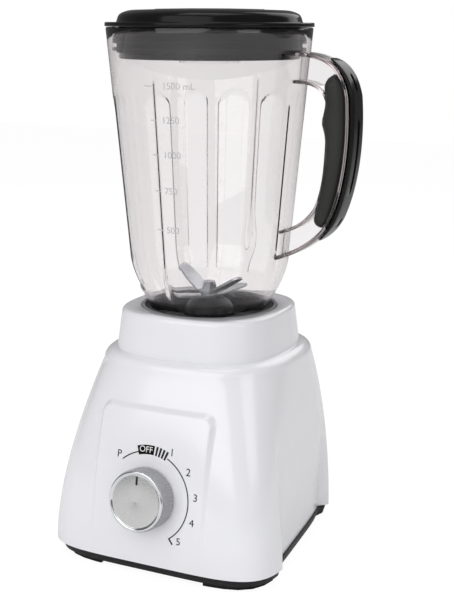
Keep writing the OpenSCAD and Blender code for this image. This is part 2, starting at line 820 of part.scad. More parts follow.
module blade_carrier() {
    color([0.1, 0.1, 0.1]) difference() {
        union() {
            translate([0, 0, carrier_z]) cylinder(r = neck_r - seat_gap, h = carrier_t);
            translate([0, 0, carrier_z]) cylinder(r = neck_in_r - 0.4, h = 9);
            translate([0, 0, carrier_z - 4]) cylinder(r = 12, h = 6);
            rotate_extrude() polygon(concat([[0, carrier_z + 4], [18, carrier_z + 4]],
                [for (i = [0:6]) [8 + 10 * cos(15 * i), mix(carrier_z + 12, hub_top_z, sin(15 * i))]],
                [[0, hub_top_z]]));
        }
        translate([0, 0, carrier_z - 5]) cylinder(r = blade_shaft_r + bush_wall + 0.1, h = 60);
    }
}

module blade_gasket() {
    color([0.8, 0.8, 0.78]) translate([0, 0, carrier_z + carrier_t + 0.1])
        tube(neck_r - seat_gap, neck_in_r, gasket_t - 0.1);
}

module blade_bush() {
    color([0.78, 0.62, 0.35]) translate([0, 0, carrier_z - 4])
        tube(blade_shaft_r + bush_wall, blade_shaft_r + run_fit, hub_top_z - carrier_z + 4);
}

module blade_shaft() {
    color([0.8, 0.8, 0.82]) translate([0, 0, coupling_z + dog_h + 1])
        cylinder(r = blade_shaft_r, h = blade_nut_z + 5 - coupling_z - dog_h - 1);
}

module blade_coupling() {
    color([0.2, 0.2, 0.2]) translate([0, 0, coupling_z]) difference() {
        cylinder(r = coupling_r, h = coupling_h);
        translate([0, 0, -1]) linear_extrude(dog_h + 1.2) dog_shape(lift_gap);
        translate([0, 0, dog_h + 1]) cylinder(r = blade_shaft_r, h = coupling_h);
    }
}

// Two-winged blade: a drilled hub and a tapered wing each way, tilted by lift
module blade(z, lift, twist) {
    color([0.82, 0.83, 0.85]) translate([0, 0, z]) rotate([0, 0, twist]) difference() {
        union() {
            cylinder(r = 8, h = blade_t);
            for (s = [0, 180]) rotate([0, 0, s]) translate([6, 0, 0]) rotate([0, -lift, 0])
                linear_extrude(blade_t) polygon([[0, -6.5], [0, 6.5],
                    [(blade_r - 6) / cos(lift) - 4, 5], [(blade_r - 6) / cos(lift), -3],
                    [(blade_r - 6) / cos(lift) - 3, -5]]);
        }
        translate([0, 0, -20]) cylinder(r = blade_shaft_r, h = 60);
    }
}

module lower_blade() blade(lower_blade_z, 8, 65);
module upper_blade() blade(upper_blade_z, 28, -22);

module blade_spacer() {
    color([0.75, 0.76, 0.78]) translate([0, 0, lower_blade_z + blade_t])
        tube(6, blade_shaft_r, spacer_h);
}

module blade_nut() {
    color([0.8, 0.8, 0.82]) translate([0, 0, blade_nut_z]) difference() {
        union() {
            cylinder(r = 5.5, h = 4, $fn = 6);
            cylinder(r = 4.2, h = 6);
        }
        translate([0, 0, -1]) cylinder(r = blade_shaft_r, h = 6);
    }
}

// ----------------------------------------------------------------- lid

module lid() {
    color([0.08, 0.08, 0.09]) difference() {
        union() {
            translate([0, 0, lid_z]) cylinder(r = lid_r, h = lid_t);
            translate([-(rim_r + spout_reach - 14), 0, lid_z]) cylinder(r = 15, h = lid_t);
            translate([0, 0, lid_z]) rotate_extrude() polygon([[0, 0], [63, 0], [63, lid_t + 1],
                [54.5, dome_h], [40, dome_h + 1.4], [28, dome_h + 1.9], [0, dome_h + 1.9]]);
            translate([0, 0, lid_z - plug_h]) cylinder(r = plug_r, h = plug_h + 1);
        }
        translate([0, 0, lid_z - plug_h - 1]) cylinder(r = plug_r - 2.4, h = plug_h + 1);
        difference() {
            translate([0, 0, lid_z - 1]) rotate_extrude() polygon([[0, 0], [59, 0], [59, 3],
                [51, dome_h - 1.6], [30, dome_h - 1], [0, dome_h - 1]]);
            translate([0, 0, lid_z - plug_h]) cylinder(r = filler_r + 2, h = plug_h + dome_h);
        }
        translate([0, 0, lid_z - plug_h]) cylinder(r = filler_r, h = plug_h + dome_h + 3);
    }
}

module lid_gasket() {
    color([0.13, 0.13, 0.13]) translate([0, 0, lid_z - plug_h + 4]) difference() {
        union() {
            cylinder(r = plug_r + 1.6, h = plug_h - 6);
            for (i = [0:2]) translate([0, 0, 1.4 + 5 * i]) cylinder(r = plug_r + 4.4, h = 1.6);
        }
        translate([0, 0, -1]) cylinder(r = plug_r + 0.05, h = plug_h);
    }
}

module filler_cap() {
    color([0.85, 0.9, 0.92, 0.4]) {
        difference() {
            translate([0, 0, lid_z - cap_drop]) cylinder(r = filler_r - 0.7, h = cap_drop + dome_h + 2);
            translate([0, 0, lid_z - cap_drop - 1]) cylinder(r = filler_r - 2.7, h = cap_drop + dome_h);
        }
    }
}

// -------------------------------------------- place on the counter

// Reach of the outline from the drive axis: handle, side, knob and gland
handle_reach = max([for (p = outer_edge) p[0]]) + trim_t;
side_reach = max([for (p = skirt_ring(skirt_z, 0)) p[0]]);
knob_reach = knob_h * cos(panel_lean) + cap_r * sin(panel_lean) - front_y(knob_z);
gland_reach = mix(base_rear, shoulder_half, rise(gland_z)) + gland_lip;

module stand() {
    translate([(side_reach - handle_reach) / 2, (knob_reach - gland_reach) / 2, 0]) children();
}

stand() housing();
stand() base_plate();
stand() feet();
stand() base_screws();
stand() socket_well();
stand() seat_gasket();
stand() shaft_seal();
stand() cord_gland();
stand() switch_body();
stand() switch_nut();
stand() wiring_board();
stand() board_screws();
stand() stator();
stand() field_coils();
stand() upper_bracket();
stand() lower_bracket();
stand() upper_bearing();
stand() lower_bearing();
stand() through_bolts();
stand() motor_bushes();
stand() motor_screws();
stand() brush_holders();
stand() carbon_brushes();
stand() brush_springs();
stand() motor_shaft();
stand() rotor_core();
stand() commutator();
stand() fan();
stand() drive_coupling();
stand() switch_spindle();
stand() knob_body();
stand() knob_cap();
stand() jug();
stand() grip_pad();
stand() handle_trim();
stand() jug_collar();
stand() blade_gasket();
stand() blade_carrier();
stand() blade_bush();
stand() blade_shaft();
stand() blade_coupling();
stand() lower_blade();
stand() blade_spacer();
stand() upper_blade();
stand() blade_nut();
stand() lid();
stand() lid_gasket();
stand() filler_cap();
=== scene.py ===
# %% [markdown]
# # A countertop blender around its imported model
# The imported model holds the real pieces, their joints and their sizes. This lesson dresses it: moulded
# shells, clear plastic, soft grip and metal are drawn as smooth surfaces in the same place as the plain
# solids, and each finish is a small network of shader nodes. We begin with the frame, because every
# place and size below is read from it.

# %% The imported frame
import json
import math

import bmesh
import bpy
import numpy as np
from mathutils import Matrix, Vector


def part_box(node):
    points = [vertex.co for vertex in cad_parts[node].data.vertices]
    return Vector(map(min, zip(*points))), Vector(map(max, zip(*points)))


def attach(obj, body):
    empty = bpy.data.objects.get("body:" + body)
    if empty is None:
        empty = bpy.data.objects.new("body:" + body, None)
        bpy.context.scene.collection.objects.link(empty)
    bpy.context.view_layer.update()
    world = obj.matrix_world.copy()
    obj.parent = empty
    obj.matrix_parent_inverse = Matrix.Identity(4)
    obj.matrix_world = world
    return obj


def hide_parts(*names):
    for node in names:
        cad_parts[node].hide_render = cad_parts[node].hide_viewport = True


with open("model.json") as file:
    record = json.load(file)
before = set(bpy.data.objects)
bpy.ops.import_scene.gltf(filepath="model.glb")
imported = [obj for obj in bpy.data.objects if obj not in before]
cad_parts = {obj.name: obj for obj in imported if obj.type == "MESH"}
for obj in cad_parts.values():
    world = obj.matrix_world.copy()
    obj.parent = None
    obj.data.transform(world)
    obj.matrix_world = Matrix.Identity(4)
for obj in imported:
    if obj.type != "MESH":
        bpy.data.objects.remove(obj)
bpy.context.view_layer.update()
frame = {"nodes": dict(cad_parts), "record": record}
MM = 0.001


# %% [markdown]
# Nearly everything on a blender is round about the drive axis, so the shapes are worked out in
# millimetres from that axis and moved to their place when a mesh is made. The motor shaft tells where
# the axis stands, and the other heights come from the boxes of the nodes.

# %% Places read from the frame
def span(node):
    """Lowest and highest corner of a CAD node, in millimetres, measured from the drive axis."""
    low, high = (np.array(corner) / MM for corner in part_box(node))
    return low - AXIS, high - AXIS


AXIS = np.zeros(3)
shaft_low, shaft_high = span("motor_shaft")
AXIS = np.array([(shaft_low[0] + shaft_high[0]) / 2, (shaft_low[1] + shaft_high[1]) / 2, 0.0])
skirt_z = span("housing")[0][2]
collar_top = span("housing")[1][2]
rim_z = span("jug")[1][2]
plate_z = span("base_plate")[0][2]
lid_top = span("lid")[1][2]
print("drive axis at", AXIS[:2].round(2), "collar top", round(collar_top, 1), "rim", round(rim_z, 1))


# %% [markdown]
# The camera stands to the right of the knob's side, about as high as the lid, and looks down at the
# jug's foot. A long lens keeps the tall jug from leaning.

# %% Camera
CAMERA_DISTANCE = 864.6
CAMERA_HEIGHT = 369.9
CAMERA_AZIMUTH = math.radians(27.215)
CAMERA_YAW = math.radians(-0.784)
CAMERA_PITCH = math.radians(12.697)
CAMERA_ROLL = math.radians(0.216)

camera_data = bpy.data.cameras.new("camera")
camera_data.lens = 74.21
camera_data.sensor_width = 36.0
camera = bpy.data.objects.new("camera", camera_data)
bpy.context.scene.collection.objects.link(camera)
camera.location = (AXIS + [CAMERA_DISTANCE * math.sin(CAMERA_AZIMUTH),
                           -CAMERA_DISTANCE * math.cos(CAMERA_AZIMUTH), CAMERA_HEIGHT]) * MM
camera.rotation_mode = "XYZ"
camera.rotation_euler = (math.pi / 2 - CAMERA_PITCH, -CAMERA_ROLL, CAMERA_AZIMUTH + CAMERA_YAW)
bpy.context.scene.camera = camera
print("camera at", [round(v, 3) for v in camera.location])


# %% [markdown]
# A surface here is a grid of points: rows one way, columns the other. The helper below joins neighbours
# with quads, wraps the grid round where the shape closes, and merges points that meet at a pole. Normals
# are then turned outwards and edges sharper than a chosen angle stay crisp.

# %% From a grid of points to a mesh
def surface(name, grid, wrap_rows=True, wrap_columns=True, crisp=38.0):
    """Quads between neighbouring points of a (rows, columns, 3) grid in millimetres from the drive axis."""
    rows, columns = grid.shape[:2]
    index = np.arange(rows * columns).reshape(rows, columns)
    if wrap_rows:
        index = np.vstack([index, index[:1]])
    if wrap_columns:
        index = np.hstack([index, index[:, :1]])
    quads = np.stack([index[:-1, :-1], index[:-1, 1:], index[1:, 1:], index[1:, :-1]], axis=-1)
    points = (grid.reshape(-1, 3) + AXIS) * MM
    return finished(name, points, quads.reshape(-1, 4).tolist(), crisp)


def finished(name, points, faces, crisp=38.0, merge=1e-6):
    """A mesh object with doubles merged, faces that point outwards and sharp edges marked."""
    mesh = bpy.data.meshes.new(name)
    mesh.from_pydata(points, [], faces)
    work = bmesh.new()
    work.from_mesh(mesh)
    bmesh.ops.remove_doubles(work, verts=work.verts, dist=merge)
    bmesh.ops.dissolve_degenerate(work, edges=work.edges, dist=merge)
    bmesh.ops.recalc_face_normals(work, faces=work.faces)
    work.to_mesh(mesh)
    work.free()
    mesh.shade_smooth()
    mesh.set_sharp_from_angle(angle=math.radians(crisp))
    thing = bpy.data.objects.new(name, mesh)
    bpy.context.scene.collection.objects.link(thing)
    return thing


def dress(thing, body, slot, replaced=()):
    """The piece rides on a body, takes its slot's finish and stands for the CAD nodes that it replaces."""
    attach(thing, body)
    if replaced:
        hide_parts(*replaced)
    thing.data.materials.clear()
    thing.data.materials.append(MATERIALS[slot])
    print(f"{thing.name}: {len(thing.data.polygons)} faces on {body}, {slot}")
    return thing


# %% Small shapes of the trade
def mix(a, b, t):
    """The value t of the way from a to b."""
    return a + (b - a) * t


def ramp(t):
    """A smooth step: 0 below 0, 1 above 1, and 3 t squared less 2 t cubed between."""
    t = np.clip(t, 0, 1)
    return t * t * (3 - 2 * t)


def bell(t):
    """A smooth hump of height 1 at 0 that dies away past 1: e to the power of minus 2 t squared."""
    return np.exp(-2 * np.asarray(t) ** 2)


def rounded(outline, radius, steps=5):
    """A closed outline with every corner turned into a quadratic curve that starts radius away from it."""
    corner = np.asarray(outline, float)
    reach = np.broadcast_to(radius, len(corner))

    def toward(other):
        way = other - corner
        length = np.maximum(np.linalg.norm(way, axis=1), 1e-9)
        return corner + way * (np.minimum(reach, 0.48 * length) / length)[:, None]

    start, end = toward(np.roll(corner, 1, 0))[:, None], toward(np.roll(corner, -1, 0))[:, None]
    t = np.linspace(0, 1, steps)[None, :, None]
    return ((1 - t) ** 2 * start + 2 * t * (1 - t) * corner[:, None] + t ** 2 * end).reshape(-1, 2)


def turned(name, outline, steps=160, crisp=38.0, place=None):
    """An outline of (radius, height) points turned about the drive axis, or in another frame."""
    angle = np.linspace(0, 2 * np.pi, steps, endpoint=False)
    r, h = np.asarray(outline)[:, 0, None], np.asarray(outline)[:, 1, None]
    grid = np.stack([r * np.cos(angle), r * np.sin(angle), np.broadcast_to(h, (len(r), steps))], axis=-1)
    return surface(name, grid if place is None else place(grid), crisp=crisp)


# %% [markdown]
# Holes are cut with a Boolean modifier whose result is applied at once, so that the piece is left with
# no live modifier and no helper object.

# %% Cutting one mesh out of another
def cut(thing, cutter):
    """Takes the cutter's volume out of the thing, and removes the cutter."""
    tool = thing.modifiers.new("cut", "BOOLEAN")
    tool.operation = "DIFFERENCE"
    tool.solver = "EXACT"
    tool.object = cutter
    bpy.context.view_layer.update()
    result = bpy.data.meshes.new_from_object(thing.evaluated_get(bpy.context.evaluated_depsgraph_get()))
    thing.modifiers.clear()
    thing.data = result
    result.shade_smooth()
    result.set_sharp_from_angle(angle=math.radians(38))
    bpy.data.objects.remove(cutter)
    return thing


# %% [markdown]
# ## Finishes
# Shader arithmetic reads best as plain arithmetic, so a small class wraps a socket and adds a Math node
# for each operator. Any other node comes from one method that sets its properties first and then its
# inputs, by value or by link.

# %% A class for shader networks
class Wire:
    """An output socket that adds, subtracts and multiplies, with a number or a wire on either side."""

    def __init__(self, shader, socket):
        self.shader, self.socket = shader, socket

    def _math(self, operation, left, right):
        return self.shader.node("Math", {"operation": operation}, {0: left, 1: right})

    def __add__(self, other):
        return self._math("ADD", self, other)

    def __sub__(self, other):
        return self._math("SUBTRACT", self, other)

    def __rsub__(self, other):
        return self._math("SUBTRACT", other, self)

    def __mul__(self, other):
        return self._math("MULTIPLY", self, other)

    __radd__, __rmul__ = __add__, __mul__


class Shader:
    """One material's node tree, with its Principled shader and its Object coordinates."""

    def __init__(self, name, colour, roughness, **settings):
        self.material = bpy.data.materials.new(name)
        self.material.use_nodes = True
        self.tree = self.material.node_tree
        self.surface = self.tree.nodes["Principled BSDF"]
        self.output = self.tree.nodes["Material Output"]
        self.surface.inputs["Base Color"].default_value = (*colour, 1.0)
        self.surface.inputs["Roughness"].default_value = roughness
        for socket, value in settings.items():
            self.surface.inputs[socket.replace("_", " ")].default_value = value
        self.place = self.node("TexCoord", {}, {}, "Object")
        self.material.diffuse_color = (*colour, 1.0)

    def node(self, kind, settings, inputs, output=0):
        """Adds a node of that kind, sets its properties, feeds its sockets and returns one output."""
        made = self.tree.nodes.new("ShaderNode" + kind)
        for name, value in settings.items():
            setattr(made, name, value)
        for socket, value in inputs.items():
            if isinstance(value, Wire):
                self.tree.links.new(value.socket, made.inputs[socket])
            else:
                made.inputs[socket].default_value = value
        return Wire(self, made.outputs[output])

    def feed(self, **wires):
        """Links wires to the Principled shader's sockets, whose spaces are written as underscores."""
        for socket, wire in wires.items():
            self.tree.links.new(wire.socket, self.surface.inputs[socket.replace("_", " ")])
        return self

    def noise(self, scale, detail=2.0, stretch=None):
        """Soft noise on the piece's own coordinates, finer with a larger scale, or stretched."""
        place = self.place
        if stretch is not None:
            place = self.node("Mapping", {}, {"Vector": place, "Scale": stretch})
        return self.node("TexNoise", {}, {"Vector": place, "Scale": scale, "Detail": detail}, "Fac")

    def bump(self, height, strength, distance):
        """A Bump node that turns a height into a normal, distance in metres."""
        return self.node("Bump", {}, {"Height": height, "Strength": strength, "Distance": distance})

    def blend(self, factor, first, second):
        """A colour that goes from the first to the second as the factor goes from 0 to 1."""
        return self.node("Mix", {"data_type": "RGBA"},
                         {0: factor, 6: (*first, 1.0), 7: (*second, 1.0)}, 2)


MATERIALS = {}
print("shader helpers are ready")


# %% [markdown]
# The housing is glossy white ABS: a clear reflection, a hint of orange peel from the tool, and the
# faint cool cast that white plastic gets from its pigment.

# %% White ABS
def white_gloss():
    """Glossy moulded ABS: a wide, shallow ripple in the gloss and slight variation in shade."""
    shader = Shader("white_gloss", (0.80, 0.80, 0.83), 0.20, Coat_Weight=0.6, Coat_Roughness=0.1,
                    Specular_IOR_Level=0.5)
    shade = shader.noise(9.0)
    ripple = shader.noise(260.0, 1.0)
    return shader.feed(Base_Color=shader.blend(shade, (0.83, 0.83, 0.86), (0.855, 0.855, 0.885)),
                       Roughness=0.17 + shader.noise(40.0) * 0.1,
                       Normal=shader.bump(ripple, 0.06, 0.0002)).material


MATERIALS["white_gloss"] = white_gloss()
print("white_gloss: ripple and shade on Object coordinates")


# %% [markdown]
# The black pieces differ by touch. The base and the jug's collar have a fine spark texture, the lid and
# the handle's trim are polished, and the grip and the feet are rubber that scatters nearly all gloss.

# %% Black plastics and rubbers
def textured(name, colour, roughness, grain, depth, spread=0.08, **settings):
    """A moulded finish: fine grain as bump, and broad patches where handling changed the gloss."""
    shader = Shader(name, colour, roughness, **settings)
    lighter = tuple(min(1.0, c * 1.35 + 0.004) for c in colour)
    return shader.feed(Base_Color=shader.blend(shader.noise(30.0), colour, lighter),
                       Roughness=roughness - spread / 2 + shader.noise(55.0) * spread,
                       Normal=shader.bump(shader.noise(grain, 3.0), 0.35, depth)).material


MATERIALS["black_matte"] = textured("black_matte", (0.012, 0.012, 0.013), 0.42, 1800.0, 0.00006,
                                    Specular_IOR_Level=0.22)
MATERIALS["black_gloss"] = textured("black_gloss", (0.005, 0.005, 0.005), 0.16, 300.0, 0.00001, 0.06,
                                    Specular_IOR_Level=0.16)
MATERIALS["black_rubber"] = textured("black_rubber", (0.010, 0.010, 0.010), 0.62, 1400.0, 0.00008,
                                     Specular_IOR_Level=0.25)
MATERIALS["soft_grip"] = textured("soft_grip", (0.020, 0.020, 0.019), 0.46, 2200.0, 0.00005, 0.10,
                                  Specular_IOR_Level=0.25)
MATERIALS["grey_rubber"] = textured("grey_rubber", (0.20, 0.20, 0.21), 0.55, 1400.0, 0.00006)
MATERIALS["seal_white"] = textured("seal_white", (0.70, 0.70, 0.68), 0.50, 900.0, 0.00003)
MATERIALS["carbon"] = textured("carbon", (0.040, 0.040, 0.042), 0.60, 1600.0, 0.00005)
MATERIALS["board"] = textured("board", (0.02, 0.16, 0.08), 0.35, 700.0, 0.00003)
MATERIALS["fan_white"] = textured("fan_white", (0.70, 0.70, 0.67), 0.45, 900.0, 0.00003)
print("plastics and rubbers:", [k for k in MATERIALS])


# %% [markdown]
# Metals get their colour from reflection, so what varies is the roughness: long scratches where a sheet
# was ground, rings where a part was turned.

# %% Metals
def metal(name, colour, roughness, scratch, stretch, spread=0.12):
    """Bare metal with streaks along one direction, which change its roughness and its fine relief."""
    shader = Shader(name, colour, roughness, Metallic=1.0)
    streak = shader.noise(scratch, 3.0, stretch)
    return shader.feed(Base_Color=shader.blend(shader.noise(60.0), tuple(c * 0.93 for c in colour), colour),
                       Roughness=roughness - spread / 2 + streak * spread,
                       Normal=shader.bump(streak, 0.15, 0.00002)).material


ALONG_X, ALL_WAYS, ALONG_Z = (0.06, 1.0, 1.0), (1.0, 1.0, 1.0), (1.0, 1.0, 0.04)
MATERIALS["steel"] = metal("steel", (0.58, 0.58, 0.60), 0.34, 900.0, ALONG_X)
MATERIALS["blade_steel"] = metal("blade_steel", (0.34, 0.35, 0.37), 0.22, 1100.0, ALONG_X)
MATERIALS["bronze"] = metal("bronze", (0.56, 0.40, 0.20), 0.42, 700.0, ALL_WAYS)
MATERIALS["bracket_alloy"] = metal("bracket_alloy", (0.62, 0.62, 0.64), 0.48, 500.0, ALL_WAYS)
MATERIALS["lamination"] = metal("lamination", (0.34, 0.34, 0.36), 0.45, 1500.0, ALONG_Z)
MATERIALS["winding"] = metal("winding", (0.62, 0.30, 0.13), 0.35, 1300.0, ALONG_X)
MATERIALS["knob_chrome"] = metal("knob_chrome", (0.80, 0.81, 0.83), 0.10, 800.0, ALL_WAYS, 0.05)
print("metals are ready")


# %% [markdown]
# Clear plastic bends light and swallows a little of it, more where the wall is seen edge-on, which is
# what draws the jug's outline. Light from the lamps has to reach what stands inside, so a shadow ray
# passes straight through. The knob's skirt is the cloudy cousin: grey and only partly clear.

# %% Clear and cloudy plastic
def clear(name, tint, roughness, density, index=1.49):
    """A refracting solid whose inside absorbs light, and which lets shadow rays pass."""
    shader = Shader(name, tint, roughness, Transmission_Weight=1.0, IOR=index)
    open_way = shader.node("BsdfTransparent", {}, {"Color": (0.93, 0.93, 0.94, 1.0)})
    shadow = shader.node("LightPath", {}, {}, "Is Shadow Ray")
    solid = Wire(shader, shader.surface.outputs[0])
    both = shader.node("MixShader", {}, {0: shadow, 1: solid, 2: open_way})
    shader.tree.links.new(both.socket, shader.output.inputs["Surface"])
    inside = shader.node("VolumeAbsorption", {}, {"Color": (0.80, 0.77, 0.775, 1.0), "Density": density})
    shader.tree.links.new(inside.socket, shader.output.inputs["Volume"])
    shader.feed(Normal=shader.bump(shader.noise(45.0, 1.0), 0.05, 0.0004))
    return shader.material


def cloudy():
    """Grey see-through plastic, seen mostly by the light scattered in it."""
    shader = Shader("knob_grey", (0.42, 0.43, 0.46), 0.30, Transmission_Weight=0.25, IOR=1.46)
    return shader.feed(Base_Color=shader.blend(shader.noise(90.0), (0.42, 0.42, 0.44), (0.56, 0.56, 0.58)),
                       Roughness=0.26 + shader.noise(70.0) * 0.12).material


MATERIALS["clear_plastic"] = clear("clear_plastic", (1.0, 1.0, 1.0), 0.01, 230.0)
MATERIALS["knob_grey"] = cloudy()
print("clear plastic absorbs most where it is thick")


# %% Every CAD node takes its slot's finish
for part in frame["record"]["subparts"]:
    node = frame["nodes"][part["node"]]
    for place in node.material_slots:
        place.material = MATERIALS[part["material_slot"]]


# %% [markdown]
# ## The motor housing
# The real housing is one moulded shell: a squarish skirt that narrows in a flare to a rounder shoulder,
# side walls set back between four columns, a control panel that stands a little proud, and a collar for
# the jug. A squircle, whose power falls from 5 to 2.9 on the way up, gives every level's outline, and
# the grid is finest where the panel's bevel runs.

# %% Levels of the housing's outline
SHOULDER_Z, SHOULDER_ROUND = 137.0, 8.0
COLLAR_FOOT_HALF, COLLAR_HALF, COLLAR_ROUND = 60.0, 56.8, 3.0
BASE_FRONT, BASE_REAR, BASE_HALF, SHOULDER_HALF = 95.0, 88.0, 80.8, 68.5
BASE_TAPER, SIDE_RECESS, FLARE = 0.115, 8.5, 1.7
SHARP_CORNER, SOFT_CORNER = 5, 2.9
SIDE_START, SIDE_RAMP, RECESS_RISE = 0.86, 0.08, 0.75
COLUMN_FRONT, COLUMN_REAR, FRONT_CREASE, REAR_CREASE = 0.61, 0.72, 5, 8
PANEL_HALF, PANEL_TOP_Z, PANEL_PROUD, PANEL_ROUND, PANEL_BEVEL = 44.0, 117.0, 4.0, 9.0, 3.6
WALL, SOCKET_RADIUS, SOCKET_EDGE = 2.5, 48.6, 0.6


def reaches(z):
    """The outline's reach to the front, rear and side, its power and its taper, led by one flare curve."""
    s = np.maximum(0, (z - skirt_z) / (SHOULDER_Z - skirt_z)) ** FLARE
    front, rear, half = (mix(reach, SHOULDER_HALF, s) for reach in (BASE_FRONT, BASE_REAR, BASE_HALF))
    return front, rear, half, mix(SHARP_CORNER, SOFT_CORNER, s), mix(BASE_TAPER, 0, s)


def panel_height(x, z):
    """How proud the panel stands: a ramp across its bevel, times a rise from the skirt's edge."""
    corner = np.hypot(np.maximum(np.abs(x) - PANEL_HALF + PANEL_ROUND, 0),
                      np.maximum(z - PANEL_TOP_Z + PANEL_ROUND, 0))
    inside = PANEL_ROUND - corner
    inside = np.where(corner == 0, np.minimum(PANEL_HALF - np.abs(x), PANEL_TOP_Z - z), inside)
    return PANEL_PROUD * (z - skirt_z) / (PANEL_TOP_Z - skirt_z) * ramp(inside / PANEL_BEVEL)


def skirt(angle, z, inset=0.0, recess=SIDE_RECESS):
    """The squircle at that height, narrower to the rear, its sides set back between the columns."""
    front, rear, half, power, taper = reaches(z)
    cosine, sine = np.cos(angle), np.sin(angle)
    r = (np.abs(cosine) ** power + np.abs(sine) ** power) ** (-1 / power)
    u, v = r * cosine, r * sine
    y = (rear - front) / 2 + ((front + rear) / 2 - inset) * v
    x = (half - inset - taper * y) * u
    hollow = recess * (1 - ramp((z - skirt_z) / (RECESS_RISE * (SHOULDER_Z - skirt_z))))
    between = ramp((v + COLUMN_FRONT) * BASE_FRONT / FRONT_CREASE) * ramp(
        (COLUMN_REAR - v) * BASE_REAR / REAR_CREASE)
    on_side = ramp((np.abs(u) - SIDE_START) / SIDE_RAMP) * between
    x = np.sign(x) * (np.abs(x) - hollow * on_side)
    return x, np.where(v < 0, y - panel_height(x, z), y)


def panel_face(x, z):
    """The y of the housing's front surface at x and z, by closing in on the squircle's own equation."""
    front, rear, half, power, taper = reaches(z)
    v = -np.ones_like(x)
    for _ in range(30):
        y = (rear - front) / 2 + (front + rear) / 2 * v
        v = -(1 - np.abs(x / (half - taper * y)) ** power) ** (1 / power)
    return y - panel_height(x, z)


def housing_grid():
    """Skirt levels, a quarter round up to the collar, its lip, then the bore and the inner wall."""
    fan = np.radians(np.arange(18, 40, 0.3))
    angle = np.unique(np.concatenate([np.arange(0, 2 * np.pi, np.pi / 180),
                                      1.5 * np.pi + fan, 1.5 * np.pi - fan]))
    levels = np.concatenate([np.linspace(skirt_z, 106, 44), np.arange(106.5, 119, 0.6),
                             np.linspace(119.5, 132, 8)])
    a, z = np.meshgrid(angle, levels)
    outer = np.stack([*skirt(a, z), z], axis=-1)
    cosine, sine = np.cos(angle), np.sin(angle)
    squircle = (np.abs(cosine) ** SOFT_CORNER + np.abs(sine) ** SOFT_CORNER) ** (-1 / SOFT_CORNER)
    turn = np.linspace(0, np.pi / 2, 9)
    foot = np.stack([COLLAR_FOOT_HALF + (SHOULDER_HALF - COLLAR_FOOT_HALF) * np.cos(turn),
                     SHOULDER_Z + SHOULDER_ROUND * np.sin(turn)], 1)
    lip = np.stack([COLLAR_HALF - COLLAR_ROUND * (1 - np.cos(turn)),
                    collar_top - COLLAR_ROUND * (1 - np.sin(turn))], 1)
    ring = np.vstack([foot, np.linspace(foot[-1], lip[0], 8)[1:-1], lip])
    bore = np.array([[SOCKET_RADIUS + SOCKET_EDGE, collar_top], [SOCKET_RADIUS, collar_top - SOCKET_EDGE],
                     [SOCKET_RADIUS, 131]])

    def around(outline, shape):
        r = outline[:, :1] * shape
        return np.stack([r * cosine, r * sine, np.broadcast_to(outline[:, 1:], r.shape)], axis=-1)

    collar, hole = around(ring, squircle), around(bore, np.ones_like(squircle))
    low = np.linspace(128, skirt_z, 12)
    inner = outer[np.searchsorted(levels, low).clip(0, len(levels) - 1)] * [1 - WALL / 80, 1 - WALL / 90, 1]
    inner[..., 2] = low[:, None]
    return np.concatenate([outer, collar, hole, inner])


dress(surface("housing_shell", housing_grid(), crisp=50), "base", "white_gloss", ["housing"])


# %% [markdown]
# A black band closes the skirt's lower edge and carries the feet. It follows the same outline, but its
# sides are set back less than the walls above them, so that it shows all round.

# %% The base band
BAND_RECESS = 4.6


def band_grid():
    """A ring under the skirt: out from the plate, up its sloping face, and back in under the edge."""
    angle = np.linspace(0, 2 * np.pi, 360, endpoint=False)
    edge = np.full_like(angle, skirt_z)
    section = ((10, plate_z + 0.1), (5, plate_z + 0.1), (4, plate_z + 0.6), (2.4, skirt_z - 1.2),
               (2.6, skirt_z - 0.2), (10, skirt_z - 0.2))
    return np.array([np.stack([*skirt(angle, edge, inset, BAND_RECESS), np.full_like(angle, z)], -1)
                     for inset, z in section])


dress(surface("base_band", band_grid(), crisp=50), "base", "black_matte")


# %% [markdown]
# ## The knob
# The knob turns on the panel, so it is drawn about its own axis and then laid on the panel, which leans
# back by 9 degrees. A cloudy fluted skirt carries a chromed ring with a satin face.

# %% Knob skirt, chrome ring, satin face and pointer
KNOB_Z, KNOB_RADIUS, KNOB_HEIGHT, CAP_RADIUS = 57.3, 21.1, 16.0, 20.3
FLUTE_DEPTH, FLUTE_COUNT = 0.45, 60
LEAN = math.radians(9.0)
KNOB_Y = float(panel_face(np.zeros(1), np.full(1, KNOB_Z))[0])


def on_panel(grid):
    """From the knob's own frame, z along its axis, to the housing: turned to the lean, then moved."""
    x, y, z = np.moveaxis(grid, -1, 0)
    return np.stack([x, KNOB_Y + y * math.sin(LEAN) - z * math.cos(LEAN),
                     KNOB_Z + y * math.cos(LEAN) + z * math.sin(LEAN)], axis=-1)


def fluted(grid):
    """Flutes round the skirt's wall: the radius loses their depth times half of 1 plus a cosine."""
    angle = np.arctan2(grid[..., 1], grid[..., 0])
    radius = np.hypot(grid[..., 0], grid[..., 1])
    flute = FLUTE_DEPTH * (1 + np.cos(FLUTE_COUNT * angle)) / 2 * (radius > KNOB_RADIUS - 0.6)
    share = 1 - flute / np.maximum(radius, 1)
    return on_panel(grid * np.stack([share, share, np.ones_like(share)], axis=-1))


